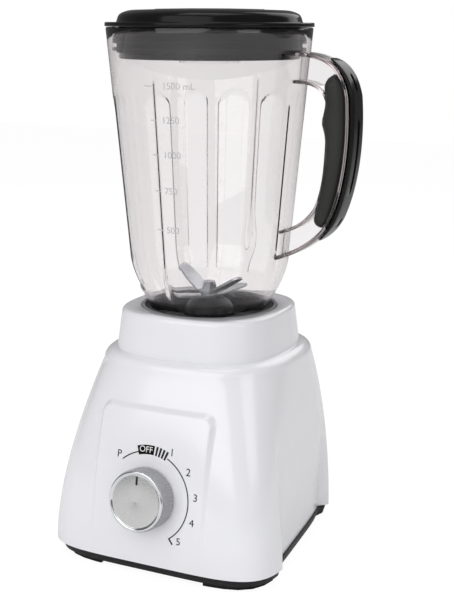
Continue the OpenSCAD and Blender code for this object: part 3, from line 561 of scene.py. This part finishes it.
skirt_outline = rounded([[0, 1.2], [KNOB_RADIUS, 1.2], [KNOB_RADIUS, 13.8], [19.6, 14.0], [0, 14.0]],
                        [0, .5, .4, .3, 0])
dress(turned("knob_skirt", skirt_outline, 480, 30, fluted), "knob", "knob_grey", ["knob_body"])
ring_outline = rounded([[0, 14.1], [CAP_RADIUS, 14.1], [CAP_RADIUS, KNOB_HEIGHT], [18.6, KNOB_HEIGHT],
                        [17.9, 15.3], [0, 15.3]], [0, .3, 1.3, .5, .3, 0])
dress(turned("knob_ring", ring_outline, 200, 40, on_panel), "knob", "knob_chrome", ["knob_cap"])
face_outline = rounded([[0, 15.32], [17.6, 15.32], [17.6, 15.45], [0, 15.5]], 0.05)
MATERIALS["satin_face"] = metal("satin_face", (0.72, 0.72, 0.72), 0.26, 1400.0, ALONG_X)
face = dress(turned("knob_face", face_outline, 160, 40, on_panel), "knob", "knob_chrome")
face.data.materials[0] = MATERIALS["satin_face"]


def rounded_bar(name, centre, half, z_low, z_high, place):
    """A flat bar with round ends: a superellipse of power 6 between two heights, capped flat."""
    t = np.linspace(0, 2 * np.pi, 48, endpoint=False)
    edge = np.stack([np.sign(np.cos(t)) * np.abs(np.cos(t)) ** (1 / 3),
                     np.sign(np.sin(t)) * np.abs(np.sin(t)) ** (1 / 3)], -1) * half
    rows = [np.column_stack([edge * size + centre, np.full(48, z)])
            for size, z in ((0, z_low), (1, z_low), (1, z_high), (0, z_high))]
    return surface(name, place(np.array(rows)), wrap_rows=False)


pointer = rounded_bar("knob_pointer", [0, CAP_RADIUS - 6.3], [0.75, 3.0], 15.4, 15.62, on_panel)
dress(pointer, "knob", "black_matte")


# %% [markdown]
# ## Marks round the knob
# The dial's marks are printed on the panel: a dark box for off, ticks, a scale arc with numbers and a P
# for pulse. They are thin raised ink, laid on the surface by asking it for its own height.

# %% Printing on the panel
INK, SUNK = 0.12, 0.05
DIAL_RADIUS = 31.2
LINE = 0.38
BLOCK_IN, BLOCK_OUT = 2.0, 4.2


def printed(across, up, proud):
    """Points on the panel, measured across and up from the knob's centre, and how proud they stand."""
    x, z = across, KNOB_Z + up * math.cos(LEAN)
    return np.stack([x, panel_face(x, z) - proud, z], axis=-1)


def arc_mark(name, start, end, inner, outer, slot="black_matte"):
    """A band between two radii, from one clock angle to another, with its two faces and four sides."""
    t = np.radians(np.linspace(start, end, max(3, int(abs(end - start) / 2) + 2)))[:, None]
    r = np.array([inner, outer, outer, inner])
    proud = np.broadcast_to([INK, INK, -SUNK, -SUNK], (len(t), 4))
    body = printed(r * np.sin(t), r * np.cos(t), proud)
    ends = [np.repeat(body[[i]].mean(1, keepdims=True), 4, 1) for i in (0, -1)]
    mark = surface(name, np.concatenate([ends[0], body, ends[1]]), wrap_rows=False, crisp=30)
    return dress(mark, "base", slot)


arc_mark("pulse_arc", -42, -17, DIAL_RADIUS - LINE, DIAL_RADIUS + LINE)
arc_mark("off_box", -17, 5, DIAL_RADIUS - BLOCK_IN, DIAL_RADIUS + BLOCK_OUT, "black_gloss")
for tick, clock in enumerate((8.5, 13, 17.5, 22)):
    arc_mark(f"dial_tick_{tick + 1}", clock - 1.3, clock + 1.3, DIAL_RADIUS - BLOCK_IN,
             DIAL_RADIUS + BLOCK_OUT)
arc_mark("speed_arc", 25, 145, DIAL_RADIUS - LINE, DIAL_RADIUS + LINE)
arc_mark("speed_end", 143.6, 145.6, DIAL_RADIUS - LINE, DIAL_RADIUS + 4.6)


# %% [markdown]
# Lettering starts as a text curve. It becomes a mesh first, and then each of its points is sent to the
# surface by a function, so that the letters follow the panel or the jug.

# %% Letters that follow a surface
def lettered(name, words, size, send, thick=INK):
    """Text of that height in millimetres, centred on 0, meshed and sent through a function."""
    curve = bpy.data.curves.new(name, "FONT")
    curve.body, curve.size = words, size / 0.7
    curve.align_x, curve.align_y = "CENTER", "CENTER"
    curve.extrude, curve.resolution_u = thick / 2, 4
    source = bpy.data.objects.new(name + "_curve", curve)
    bpy.context.scene.collection.objects.link(source)
    bpy.context.view_layer.update()
    mesh = bpy.data.meshes.new_from_object(source.evaluated_get(bpy.context.evaluated_depsgraph_get()))
    bpy.data.objects.remove(source)
    points = np.zeros(len(mesh.vertices) * 3)
    mesh.vertices.foreach_get("co", points)
    points = points.reshape(-1, 3)
    faces = [tuple(p.vertices) for p in mesh.polygons]
    return finished(name, (send(points) + AXIS) * MM, faces, 30, merge=1e-7)


def dial_letter(name, words, size, clock, radius, slot="black_matte", lift=0.0):
    """Upright letters centred at a clock angle and radius from the knob's centre."""
    t = math.radians(clock)

    def place(p):
        return printed(p[:, 0] + radius * math.sin(t), p[:, 1] + radius * math.cos(t),
                       p[:, 2] + INK / 2 + lift)

    return dress(lettered(name, words, size, place), "base", slot)


dial_letter("mark_pulse", "P", 5.0, -42, DIAL_RADIUS + 4.2)
dial_letter("mark_off", "OFF", 4.1, -6, DIAL_RADIUS + 1.1, "seal_white", INK)
for speed in range(1, 6):
    dial_letter(f"mark_speed_{speed}", str(speed), 5.0, 26.5 + (speed - 1) * 27.5, DIAL_RADIUS + 5.4)


# %% [markdown]
# ## The jug
# The jug is one clear moulding with a wall of 2.6 mm. Its outline is a radius that depends on the
# height and on the angle: a cone above a rounded foot, narrow ribs, shallow arched flutes at the rear,
# and a spout where a small cone leans out of the rim. Real walls matter here, because light bends at
# both faces.

# %% The jug's radius
RIM_RADIUS, FOOT_RADIUS, NECK_RADIUS, JUG_WALL = 70.9, 56.2, 42.4, 2.6
SPOUT_AXIS, SPOUT_DEPTH, SPOUT_RADIUS = 62.9, 30.0, 14.0
foot_z, foot_top_z = collar_top + 1, collar_top + 34
RIBS = {-95: (181, 335, 1.5), -35.5: (222, 337, 1.5), -10: (200, 318, 0.6)}
FLUTES = ((-142, 14, 322), (100.2, 11.8, 320), (126.4, 8.4, 320), (155, 11, 319), (70, 11.5, 320))


def bezier(points, steps):
    """A cubic curve through the end points: four points weighed by the Bernstein polynomials."""
    t = np.linspace(0, 1, steps)[:, None]
    p = np.asarray(points, float)
    first, last = (1 - t) ** 3 * p[0], t ** 3 * p[3]
    return first + 3 * t * (1 - t) ** 2 * p[1] + 3 * t ** 2 * (1 - t) * p[2] + last


foot_curve = bezier([[NECK_RADIUS, foot_z], [mix(NECK_RADIUS, FOOT_RADIUS, 0.35), collar_top + 8.5],
                     [FOOT_RADIUS - 1, collar_top + 23], [FOOT_RADIUS, foot_top_z]], 22)


def plain_radius(z):
    """Neck, rounded foot and straight cone, without ribs, flutes or spout."""
    wall = np.vstack([[NECK_RADIUS, 0], foot_curve, [RIM_RADIUS, rim_z]])
    return np.interp(z, wall[:, 1], wall[:, 0])


def away(angle, degrees):
    """The angle's distance from a direction in degrees, in radians, between minus and plus half a turn."""
    return (angle - math.radians(degrees) + np.pi) % (2 * np.pi) - np.pi


def with_spout(r, angle, z, wall):
    """The larger of the body's radius and the spout circle's far side, softly joined."""
    lean = away(angle, 180)
    circle = np.maximum(mix(2, SPOUT_RADIUS, (z - rim_z + SPOUT_DEPTH) / SPOUT_DEPTH) - wall, 0)
    reach = circle ** 2 - (SPOUT_AXIS * np.sin(lean)) ** 2
    ahead = (reach > 0) & (np.cos(lean) > 0)
    far = np.where(ahead, SPOUT_AXIS * np.cos(lean) + np.sqrt(np.maximum(reach, 0)), 0)
    joined = (r + far + np.sqrt((r - far) ** 2 + 1.0)) / 2 - 0.06
    return np.where(far > r - 4, joined, r)


def jug_radius(angle, z):
    """The plain radius, plus ribs that widen to a leaf below, less arched flutes, plus the spout."""
    r = plain_radius(z)
    for centre, (low, high, height) in RIBS.items():
        width = 1.1 + 3.2 * bell((z - low) / 24)
        along = ramp((high - z) / 4) * ramp((z - low + 6) / 22)
        r = r + height * bell(away(angle, centre) * r / width) * along
    for centre, half, top in FLUTES:
        across = np.abs(away(angle, centre)) * r
        edge = math.radians(half) * r
        arch = top - edge + np.sqrt(np.maximum(edge ** 2 - across ** 2, 0))
        r = r - 1.5 * ramp((edge - across) / 1.6) * ramp((arch - z) / 1.8) * ramp((z - 186) / 4)
    return with_spout(r, angle, z, 0)


def jug_grid():
    """Outer wall up, round the rim, inner wall down, and across the neck's lower edge."""
    near = [np.arange(c - 4, c + 4, 0.2) for c in RIBS] + [
        np.arange(c + e - 2.5, c + e + 2.5, 0.3) for c, half, _ in FLUTES for e in (-half, half)]
    angle = np.unique(np.radians(np.concatenate([np.arange(0, 360, 1.2), *near])).round(4) % (2 * np.pi))
    bottom = span("jug")[0][2]
    up = np.concatenate([[bottom, foot_z - 0.5], foot_curve[:, 1], np.linspace(foot_top_z + 2, 300, 26),
                         np.linspace(302, 338, 24), np.linspace(341, rim_z - 0.9, 8)])
    a, z = np.meshgrid(angle, up)
    outer = jug_radius(a, z)
    b, down = np.meshgrid(angle, np.concatenate([np.linspace(rim_z - 0.9, foot_top_z, 20),
                                                 foot_curve[::-2, 1], [foot_z - 0.5, bottom]]))
    inner = with_spout(plain_radius(down) - JUG_WALL, b, down, JUG_WALL)
    rim = np.full((2, len(angle)), rim_z)
    lip = [mix(outer[-1], inner[0], share) for share in (0.28, 0.72)]
    r = np.concatenate([outer, lip, inner])
    z, a = np.concatenate([z, rim, down]), np.broadcast_to(angle, r.shape)
    return np.stack([r * np.cos(a), r * np.sin(a), z], axis=-1)


dress(surface("jug_body", jug_grid(), crisp=45), "jug", "clear_plastic", ["jug"])


# %% [markdown]
# ## The handle
# The handle is two clear rails with a thin web between them, a soft grip on the finger side and a
# polished trim outside. Each is a section carried along a path in the plane of the handle.

# %% Paths and sections of the handle
def from_rim(pieces, steps):
    """Cubic curves joined end to end, whose heights are given from the jug's rim."""
    joined = [bezier(p, steps)[(i > 0):] for i, p in enumerate(pieces)]
    return np.concatenate(joined) + [0, rim_z]


outer_edge = from_rim([[[66, -15.5], [82, -15.5], [101, -18], [106, -44]],
                       [[106, -44], [107.6, -66], [106.6, -98], [96.5, -123]],
                       [[96.5, -123], [91, -137], [74, -152], [46, -158]]], 32)
inner_edge = from_rim([[[60, -36], [74, -36], [88, -36], [89.3, -52]],
                       [[89.3, -52], [88.7, -72], [90, -103], [81, -119]],
                       [[81, -119], [75, -127], [67, -134.5], [48, -136.5]]], 28)
grip_edge = from_rim([[[87, -29.5], [86.5, -66], [90, -102], [79.5, -131.5]]], 60)


def carried(name, path, low, high, half_width, power=5.0):
    """A superellipse section along a path: from low to high beside the path, half_width to each side."""
    tangent = np.gradient(path, axis=0)
    tangent /= np.linalg.norm(tangent, axis=1)[:, None]
    side = np.stack([-tangent[:, 1], tangent[:, 0]], 1)
    count = len(path)
    low, high, wide = (np.broadcast_to(v, count).astype(float) for v in (low, high, half_width))
    t = np.linspace(0, 2 * np.pi, 44, endpoint=False)
    s = np.sign(np.cos(t)) * np.abs(np.cos(t)) ** (2 / power)
    w = np.sign(np.sin(t)) * np.abs(np.sin(t)) ** (2 / power)
    offset = (low + high)[:, None] / 2 + (high - low)[:, None] / 2 * s
    grid = np.stack([path[:, :1] + side[:, :1] * offset, wide[:, None] * w,
                     path[:, 1:] + side[:, 1:] * offset], -1)
    ends = [np.repeat(grid[[i]].mean(1, keepdims=True), 44, 1) for i in (0, -1)]
    return surface(name, np.concatenate([ends[0], grid, ends[1]]), wrap_rows=False, crisp=42)


def outside_wall(path, depth=1.9):
    """The part of a path that lies outside the jug, from a little way inside its wall."""
    return path[path[:, 0] > plain_radius(path[:, 1]) - depth]


RAIL, INNER_RAIL, GAP, WEB = 3.0, 2.5, 0.2, 3.0
RAIL_WIDTH, INNER_RAIL_WIDTH, GRIP_WIDTH, TRIM_WIDTH = 19.0, 15.0, 21.0, 18.5


def flared(path, width):
    """Half of a rail's width, flared by 2.5 mm where the rail meets the jug's wall."""
    return width / 2 + 2.5 * bell((path[:, 0] - plain_radius(path[:, 1])) / 6)


rail = outside_wall(outer_edge)
dress(carried("outer_rail", rail, -RAIL, 0, flared(rail, RAIL_WIDTH)), "jug", "clear_plastic")
lower_rail = outside_wall(inner_edge)
dress(carried("inner_rail", lower_rail, 0, INNER_RAIL, flared(lower_rail, INNER_RAIL_WIDTH)), "jug",
      "clear_plastic")
STATIONS = 90


def evenly(path):
    """The same path with a fixed number of points, spaced by their share of its point count."""
    share = np.linspace(0, len(path) - 1, STATIONS)
    return np.stack([np.interp(share, np.arange(len(path)), path[:, i]) for i in (0, 1)], 1)


def slab(name, one, other, half):
    """A flat sheet in the handle's plane between two paths, with two faces and a closed edge all round."""
    corners = [(one, -half), (other, -half), (other, half), (one, half)]
    grid = np.stack([np.stack([p[:, 0], np.full(STATIONS, y), p[:, 1]], -1) for p, y in corners], 1)
    ends = [np.repeat(grid[[i]].mean(1, keepdims=True), 4, 1) for i in (0, -1)]
    return surface(name, np.concatenate([ends[0], grid, ends[1]]), wrap_rows=False, crisp=30)


web = slab("handle_web", evenly(rail) - [1, 0], evenly(lower_rail) + [1, 0], WEB / 2)
dress(web, "jug", "clear_plastic")
print("rails:", len(rail), len(lower_rail), "stations")


# %% [markdown]
# The grip swells high up, where the first finger lies, and is hollowed above and below. Its ends close
# on a quarter circle. The trim thins to both ends and has three slots down its middle.

# %% Grip and trim
FINGER_WAVE = ((305, 8, 1.8), (319, 8, -0.8), (284, 20, -1.6))
SLOTS = ((9, 16), (22, 42), (47, 53))


def closing(count, tip):
    """1 along the middle, and a quarter circle down to nearly 0 over the first and last share of a path."""
    t = np.linspace(0, 1, count)
    edge = np.clip(np.minimum(t, 1 - t) / tip, 0, 1)
    return np.sqrt(np.maximum(1 - (1 - edge) ** 2, 0.0004))


back = np.stack([np.interp(-grip_edge[:, 1], -outer_edge[8:, 1], outer_edge[8:, 0]), grip_edge[:, 1]], 1)
back = back - [RAIL + GAP, 0]
middle = (grip_edge + back) / 2
half_thick = (back[:, 0] - grip_edge[:, 0]) / 2
round_end = closing(60, 0.07)
finger = grip_edge[:, 1]
wave = sum(rise * bell((finger - z) / spread) for z, spread, rise in FINGER_WAVE)
dress(carried("soft_grip", middle, -half_thick * round_end - wave, half_thick * round_end,
              GRIP_WIDTH / 2 * round_end, 2.8), "jug", "soft_grip", ["grip_pad"])
trim_path = outer_edge[15:76]
trim_thick = 0.6 + 2.8 * np.sin(np.linspace(0, np.pi, len(trim_path))) ** 0.4
trim = carried("handle_trim", trim_path, GAP, trim_thick, TRIM_WIDTH / 2 * closing(len(trim_path), 0.12), 6)
for first, last in SLOTS:
    slot_path = trim_path[first:last]
    cutter = carried("cutter", slot_path, -3, 8, 2.0 * closing(len(slot_path), 0.14), 6)
    cut(trim, cutter)
dress(trim, "jug", "black_gloss", ["handle_trim"])


# %% [markdown]
# ## Level marks
# Faint grey marks on the jug's front give its contents. They sit just outside the clear wall.

# %% Volume numbers and lines
MARKS = ((1500, 329.0), (1250, 307.0), (1000, 284.4), (750, 260.4), (500, 234.0))
LEVEL_TEXT, TEXT_AZIMUTH, LINE_AZIMUTH = 4.4, -92.5, -94.5
MATERIALS["faint_ink"] = textured("faint_ink", (0.42, 0.42, 0.43), 0.5, 900.0, 0.00002)


def on_jug(azimuth, height):
    """Sends flat letters round the jug: across becomes angle, and thickness goes outwards."""
    def send(p):
        z = height + p[..., 1]
        radius = plain_radius(z) + 0.1 + p[..., 2]
        angle = math.radians(azimuth) + p[..., 0] / plain_radius(z)
        return np.stack([radius * np.cos(angle), radius * np.sin(angle), z], -1)
    return send


for volume, height in MARKS:
    words = f"{volume} mL" if volume == MARKS[0][0] else str(volume)
    azimuth = TEXT_AZIMUTH + 1.75 * len(words)
    number = lettered(f"level_{volume}", words, LEVEL_TEXT, on_jug(azimuth, height))
    dress(number, "jug", "grey_rubber")
    number.data.materials[0] = MATERIALS["faint_ink"]
    reach = 4.4 if volume == MARKS[0][0] else 2.2
    line = rounded_bar(f"line_{volume}", [-reach, 0], [reach, 0.3], 0, INK, on_jug(LINE_AZIMUTH, height))
    dress(line, "jug", "grey_rubber")
    line.data.materials[0] = MATERIALS["faint_ink"]


# %% [markdown]
# ## The lid
# The lid is a polished black moulding: a flange that rests on the rim, a low dome with a stepped ring,
# a hole for the filler cup, and a plug that carries the gasket's fins. One closed outline is turned
# about the axis, and the flange's rows swell into the tab that covers the spout.

# %% The lid's turned outline
lid_z = rim_z + 0.3
LID_RADIUS, LID_EDGE, TAB_RADIUS = 71.5, 2.9, 15.0
PLUG_RADIUS, PLUG_DEPTH, FILLER_RADIUS = 62.0, 21.0, 22.0
lid_outline = rounded(
    [[FILLER_RADIUS, lid_z - 20], [FILLER_RADIUS, lid_top], [27, lid_top], [37.5, lid_top - 0.2],
     [38, lid_top - 1.2], [39.5, lid_top - 1.2], [40, lid_top - 0.5], [55.5, lid_z + 10.9],
     [62, lid_z + 8.2], [63.6, lid_z + LID_EDGE], [LID_RADIUS, lid_z + LID_EDGE], [LID_RADIUS, lid_z],
     [PLUG_RADIUS, lid_z], [PLUG_RADIUS, lid_z - PLUG_DEPTH], [PLUG_RADIUS - 2.4, lid_z - PLUG_DEPTH],
     [PLUG_RADIUS - 2.4, lid_z + 2], [50, lid_z + 7], [24, lid_z + 8.5], [24, lid_z - 20]],
    [.3, .8, 3, .4, .3, .3, .4, 4, 2.5, .5, 1.1, .8, .1, .5, .5, .5, 2, .5, .3])


def with_tab(grid):
    """The flange's rows reach out to the far side of the tab's circle, which covers the spout."""
    x, y, z = np.moveaxis(grid, -1, 0)
    r, angle = np.hypot(x, y), np.arctan2(y, x)
    lean = away(angle, 180)
    reach = TAB_RADIUS ** 2 - (SPOUT_AXIS * np.sin(lean)) ** 2
    ahead = (reach > 0) & (np.cos(lean) > 0)
    far = np.where(ahead, SPOUT_AXIS * np.cos(lean) + np.sqrt(np.maximum(reach, 0)), 0)
    wide = np.where(r > LID_RADIUS - 1.2, np.maximum(r, far - (LID_RADIUS - r)), r)
    return np.stack([wide * np.cos(angle), wide * np.sin(angle), z], axis=-1)


dress(turned("lid_shell", lid_outline, 300, 40, with_tab), "lid", "black_gloss", ["lid"])


# %% [markdown]
# ## Floor, backdrop and light
# A pale floor runs out to a white surround. What the lens and the clear plastic see of it is lifted to
# white, while the shadow of the blender stays. The lamps are large and soft: one from the knob's side,
# a weak one from the right, one behind the jug and one above.

# %% The floor
def floor_finish():
    """A pale matt floor, to which a little light of its own is added for rays that only look at it."""
    shader = Shader("floor", (0.9, 0.9, 0.9), 0.8)
    look = shader.node("LightPath", {}, {}, "Is Camera Ray")
    through = shader.node("LightPath", {}, {}, "Is Transmission Ray")
    glow = shader.node("Emission", {}, {"Color": (1, 1, 1, 1), "Strength": 0.94})
    shade = shader.node("BsdfDiffuse", {}, {"Color": (0.11, 0.11, 0.11, 1.0)})
    looked_at = shader.node("AddShader", {}, {0: shade, 1: glow})
    plain = Wire(shader, shader.surface.outputs[0])
    both = shader.node("MixShader", {}, {0: look + through, 1: plain, 2: looked_at})
    shader.tree.links.new(both.socket, shader.output.inputs["Surface"])
    return shader.material


FLOOR_HALF = 3.0
floor_mesh = bpy.data.meshes.new("floor")
corners = [(x * FLOOR_HALF, y * FLOOR_HALF, 0) for x, y in ((-1, -1), (1, -1), (1, 1), (-1, 1))]
floor_mesh.from_pydata(corners, [], [(0, 1, 2, 3)])
floor_mesh.materials.append(floor_finish())
floor = bpy.data.objects.new("floor", floor_mesh)
bpy.context.scene.collection.objects.link(floor)
print("floor:", 2 * FLOOR_HALF, "m wide")


# %% [markdown]
# The surround is white where the lens or the clear plastic looks at it. As light it is dimmer, and in
# reflections dimmer still, so that the black plastics stay dark.

# %% The surround
DIFFUSE_STRENGTH, GLOSSY_STRENGTH = 0.40, 0.16
world = bpy.data.worlds.new("surround")
bpy.context.scene.world = world
world.use_nodes = True
nodes, links = world.node_tree.nodes, world.node_tree.links
background = nodes["Background"]
background.inputs["Color"].default_value = (1, 1, 1, 1)
path = nodes.new("ShaderNodeLightPath")
seen = nodes.new("ShaderNodeMath")
seen.operation, seen.use_clamp = "ADD", True
links.new(path.outputs["Is Camera Ray"], seen.inputs[0])
links.new(path.outputs["Is Transmission Ray"], seen.inputs[1])
as_light = nodes.new("ShaderNodeMapRange")
as_light.inputs["To Min"].default_value = DIFFUSE_STRENGTH
as_light.inputs["To Max"].default_value = GLOSSY_STRENGTH
links.new(path.outputs["Is Glossy Ray"], as_light.inputs["Value"])
strength = nodes.new("ShaderNodeMapRange")
links.new(as_light.outputs[0], strength.inputs["To Min"])
strength.inputs["To Max"].default_value = 1.0
links.new(seen.outputs[0], strength.inputs["Value"])
links.new(strength.outputs[0], background.inputs["Strength"])
print("surround: white where it is looked at, dimmer as light")


# %% The lamps
def lamp(name, place, aim, size, power):
    """A square soft lamp that looks at a point, both in metres."""
    data = bpy.data.lights.new(name, "AREA")
    data.size, data.energy = size, power
    thing = bpy.data.objects.new(name, data)
    bpy.context.scene.collection.objects.link(thing)
    thing.location = place
    thing.rotation_euler = (Vector(aim) - Vector(place)).to_track_quat("-Z", "Y").to_euler()
    return thing


AIM = (0, 0, 0.18)
lamp("key", (-0.15, -1.45, 1.05), AIM, 1.7, 15.5)
lamp("fill", (1.4, -0.5, 0.7), AIM, 0.7, 2.5)
lamp("back", (0.3, 1.2, 1.1), AIM, 1.0, 5)
lamp("top", (0, 0, 1.5), AIM, 0.8, 4)
bpy.context.scene.view_settings.view_transform = "Standard"
print("four soft lamps")


# %% [markdown]
# That is the whole scene.

# %% The finish
print("all pieces are dressed")
